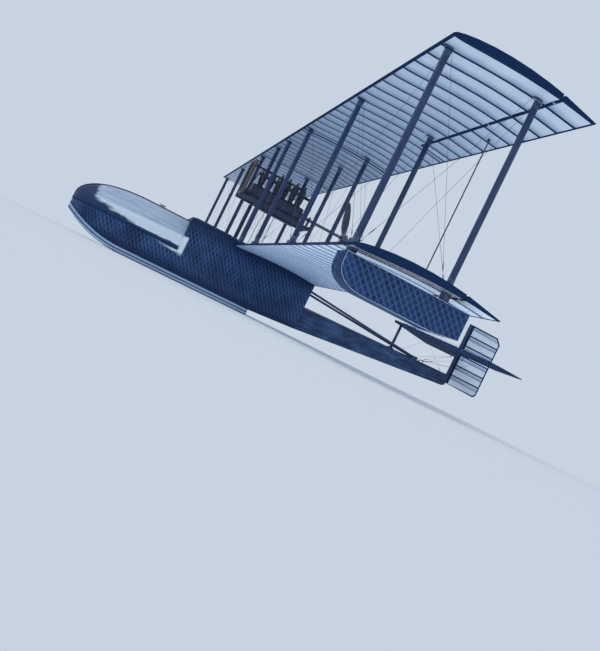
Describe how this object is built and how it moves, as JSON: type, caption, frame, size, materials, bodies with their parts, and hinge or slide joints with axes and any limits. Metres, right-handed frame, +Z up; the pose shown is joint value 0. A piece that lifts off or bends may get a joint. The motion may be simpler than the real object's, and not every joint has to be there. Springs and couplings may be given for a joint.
{
  "type": "pusher biplane flying boat",
  "caption": "Early wooden flying boat: biplane wings with fabric, open engine and pusher propeller, open cockpit, planing hull, tip floats and a raised tail.",
  "frame": {"origin": "middle of the object's box, at the floor under the flat planing bottom", "axes": "+X along the span to port, -Y ahead to the bow, +Z up"},
  "size_m": [13.4, 7.92, 2.9712],
  "materials": {
    "hull_paint": "satin",
    "wing_fabric": "satin",
    "strut_wood": "satin",
    "propeller_wood": "gloss",
    "seat_leather": "satin",
    "engine_iron": "satin",
    "dark_metal": "satin",
    "radiator_brass": "satin"
  },
  "bodies": {
    "airframe": {"hull_forebody": "hull_paint", "keel_strip": "hull_paint", "bow_deck": "hull_paint", "cockpit_frame": "hull_paint", "cockpit_coaming": "hull_paint", "rear_deck": "hull_paint", "cockpit_floor": "strut_wood", "bench_seat": "strut_wood", "seat_cushion": "seat_leather", "cockpit_controls": "dark_metal", "hull_afterbody": "hull_paint", "tail_brace_port": "strut_wood", "tail_brace_starboard": "strut_wood", "upper_wing_centre": "wing_fabric", "upper_wing_port": "wing_fabric", "upper_wing_starboard": "wing_fabric", "lower_wing_port": "wing_fabric", "lower_wing_starboard": "wing_fabric", "strut_front_port_1": "strut_wood", "strut_front_port_2": "strut_wood", "strut_front_port_3": "strut_wood", "strut_front_starboard_1": "strut_wood", "strut_front_starboard_2": "strut_wood", "strut_front_starboard_3": "strut_wood", "strut_rear_port_1": "strut_wood", "strut_rear_port_2": "strut_wood", "strut_rear_port_3": "strut_wood", "strut_rear_starboard_1": "strut_wood", "strut_rear_starboard_2": "strut_wood", "strut_rear_starboard_3": "strut_wood", "centre_strut_front_port": "strut_wood", "centre_strut_front_starboard": "strut_wood", "centre_strut_rear_port": "strut_wood", "centre_strut_rear_starboard": "strut_wood", "engine_frame": "strut_wood", "engine": "engine_iron", "exhaust_manifold": "dark_metal", "radiator": "radiator_brass", "tip_float_port": "hull_paint", "tip_float_starboard": "hull_paint", "stabiliser": "hull_paint", "stabiliser_strut": "strut_wood", "rudder_post": "strut_wood"},
    "propeller": {"propeller": "propeller_wood"},
    "rudder": {"rudder": "wing_fabric"},
    "elevator_port": {"elevator_port": "hull_paint"},
    "elevator_starboard": {"elevator_starboard": "hull_paint"},
    "aileron_upper_port": {"aileron_upper_port": "wing_fabric"},
    "aileron_lower_port": {"aileron_lower_port": "wing_fabric"},
    "aileron_link_port": {"aileron_link_port": "dark_metal"},
    "aileron_upper_starboard": {"aileron_upper_starboard": "wing_fabric"},
    "aileron_lower_starboard": {"aileron_lower_starboard": "wing_fabric"},
    "aileron_link_starboard": {"aileron_link_starboard": "dark_metal"}
  },
  "joints": [
    {"name": "propeller_spin", "type": "hinge", "parent": "airframe", "child": "propeller", "pos_m": [0, 0.32, 1.93], "axis": [0, -1, 0], "continuous": true},
    {"name": "rudder_hinge", "type": "hinge", "parent": "airframe", "child": "rudder", "pos_m": [0, 3.274, 1.06], "axis": [0, 0, 1], "range_deg": [-25, 25]},
    {"name": "elevator_port_hinge", "type": "hinge", "parent": "airframe", "child": "elevator_port", "pos_m": [0.65, 3.2237, 1.08], "axis": [1, 0, 0], "range_deg": [-25, 25]},
    {"name": "elevator_starboard_hinge", "type": "hinge", "parent": "airframe", "child": "elevator_starboard", "pos_m": [-0.65, 3.2237, 1.08], "axis": [1, 0, 0], "range_deg": [-25, 25]},
    {"name": "aileron_upper_port_hinge", "type": "hinge", "parent": "airframe", "child": "aileron_upper_port", "pos_m": [5.15, -0.2548, 2.91436], "axis": [1, 0, 0], "range_deg": [-20, 20]},
    {"name": "aileron_lower_port_hinge", "type": "hinge", "parent": "airframe", "child": "aileron_lower_port", "pos_m": [5.15, -0.2548, 0.99436], "axis": [1, 0, 0], "range_deg": [-20, 20]},
    {"name": "aileron_link_port_pin", "type": "hinge", "parent": "aileron_upper_port", "child": "aileron_link_port", "pos_m": [5.0663, -0.0648, 2.85436], "axis": [1, 0, 0], "range_deg": [-20, 20]},
    {"name": "aileron_upper_starboard_hinge", "type": "hinge", "parent": "airframe", "child": "aileron_upper_starboard", "pos_m": [-5.15, -0.2548, 2.91436], "axis": [1, 0, 0], "range_deg": [-20, 20]},
    {"name": "aileron_lower_starboard_hinge", "type": "hinge", "parent": "airframe", "child": "aileron_lower_starboard", "pos_m": [-5.15, -0.2548, 0.99436], "axis": [1, 0, 0], "range_deg": [-20, 20]},
    {"name": "aileron_link_starboard_pin", "type": "hinge", "parent": "aileron_upper_starboard", "child": "aileron_link_starboard", "pos_m": [-5.0663, -0.0648, 2.85436], "axis": [1, 0, 0], "range_deg": [-20, 20]}
  ],
  "couplings": [
    {"joint": "elevator_starboard_hinge", "follows": "elevator_port_hinge", "ratio": 1},
    {"joint": "aileron_lower_port_hinge", "follows": "aileron_upper_port_hinge", "ratio": 1},
    {"joint": "aileron_link_port_pin", "follows": "aileron_upper_port_hinge", "ratio": -1},
    {"joint": "aileron_upper_starboard_hinge", "follows": "aileron_upper_port_hinge", "ratio": -1},
    {"joint": "aileron_lower_starboard_hinge", "follows": "aileron_upper_port_hinge", "ratio": -1},
    {"joint": "aileron_link_starboard_pin", "follows": "aileron_upper_port_hinge", "ratio": 1}
  ]
}
